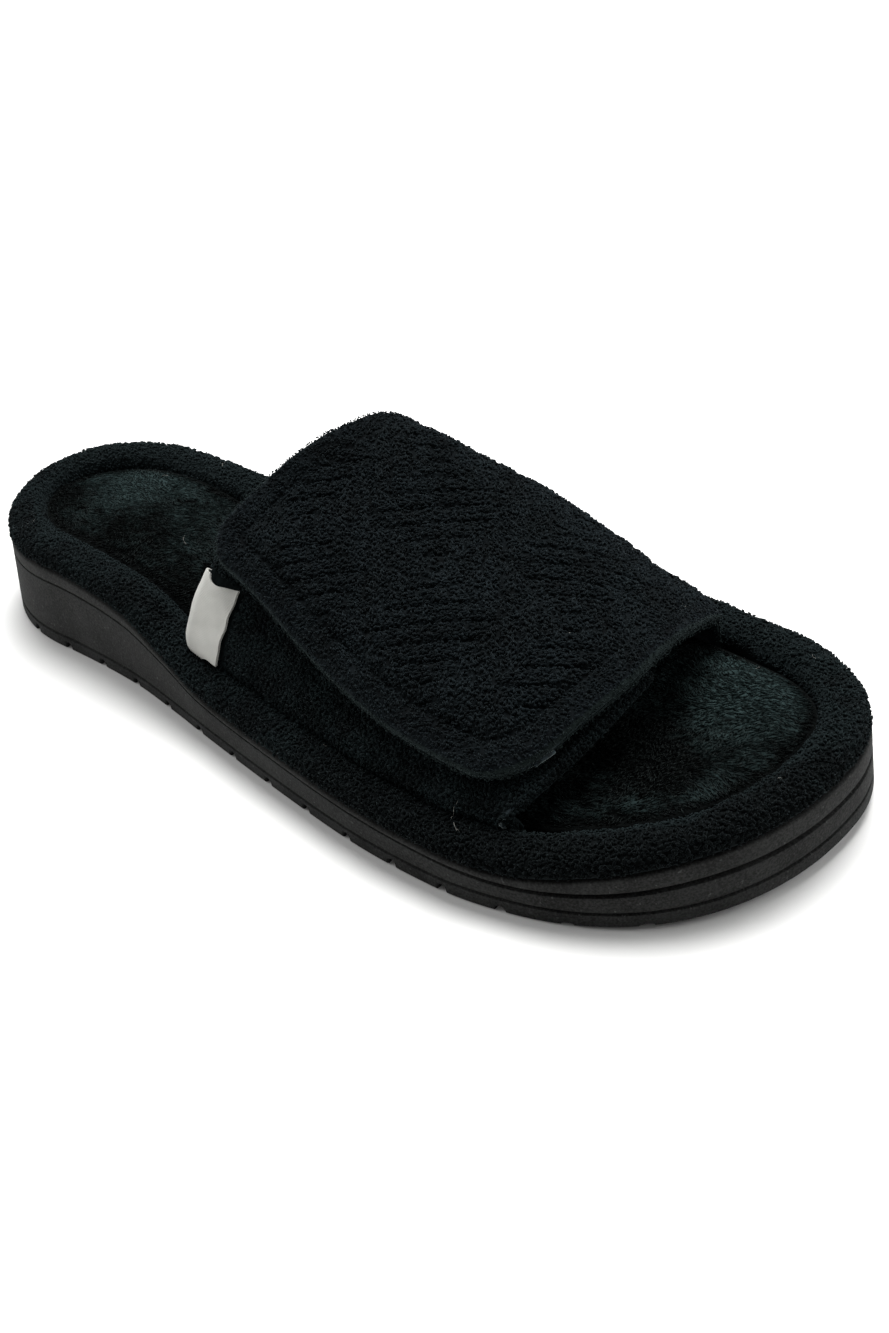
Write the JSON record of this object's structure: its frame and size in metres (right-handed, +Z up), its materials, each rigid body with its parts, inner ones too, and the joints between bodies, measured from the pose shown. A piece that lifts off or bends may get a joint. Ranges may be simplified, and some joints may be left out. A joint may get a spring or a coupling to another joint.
{
  "type": "scuff slipper",
  "caption": "Open-toed scuff slipper for the right foot: padded terry strap with an adjustable flap over a rimmed footbed on a moulded rubber wedge sole.",
  "frame": {"origin": "on the floor, at the centre of the sole's outline", "axes": "+X from the heel to the toe, +Y to the inner side of the foot, +Z up from the floor"},
  "size_m": [0.2949, 0.1186, 0.0686],
  "materials": {
    "rubber": "matt black moulded rubber",
    "rim_terry": "black looped terry",
    "velour": "black brushed velour",
    "strap_terry": "black looped terry with a faint embossed pattern",
    "quarter_terry": "black looped terry",
    "woven_tag": "blank off-white woven tape"
  },
  "bodies": {
    "root": {"outsole": "rubber", "footbed_rim": "rim_terry", "insole": "velour", "upper_strap": "strap_terry", "side_quarter": "quarter_terry", "side_tag": "woven_tag"}
  },
  "joints": []
}
